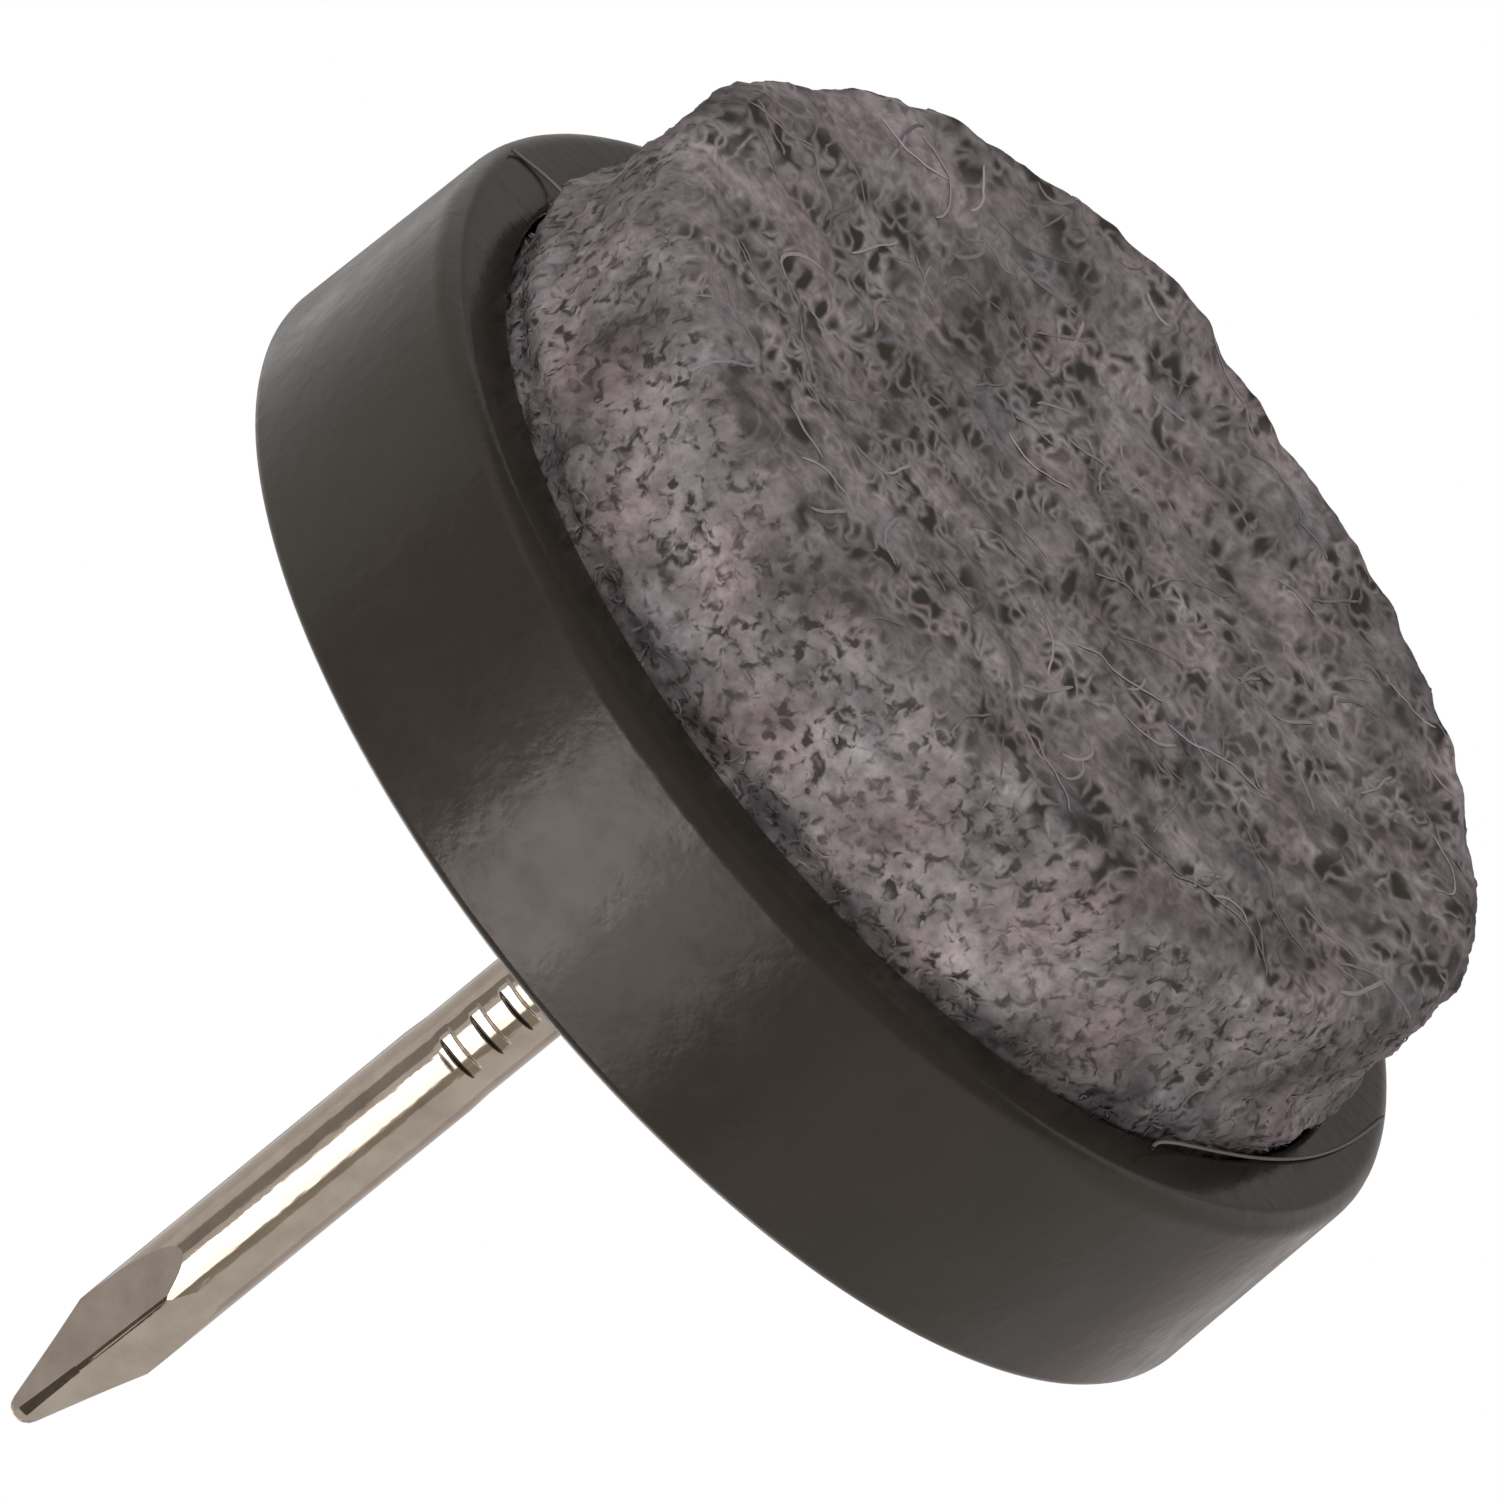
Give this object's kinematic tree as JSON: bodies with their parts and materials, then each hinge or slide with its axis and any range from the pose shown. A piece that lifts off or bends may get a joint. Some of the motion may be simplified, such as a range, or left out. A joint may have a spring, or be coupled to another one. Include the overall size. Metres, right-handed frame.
{
  "type": "nail-on furniture glide",
  "caption": "Round furniture glide: a dark moulded plastic base with a thick grey felt pad on one face and a pointed wire nail standing out of the other, for a chair or table leg.",
  "frame": {"origin": "centre of the felt pad's sole, the face that stands on the floor", "axes": "+Z along the nail, from the floor up into the furniture leg; the grip marks on the nail face -Y and +Y"},
  "size_m": [0.028, 0.028, 0.0308],
  "materials": {
    "plastic_base": "dark brown-black satin moulding",
    "felt": "grey pressed fibre felt",
    "nail": "bright nickel plating on drawn steel wire"
  },
  "bodies": {
    "root": {"plastic_base": "plastic_base", "felt_pad": "felt", "nail": "nail"}
  },
  "joints": []
}
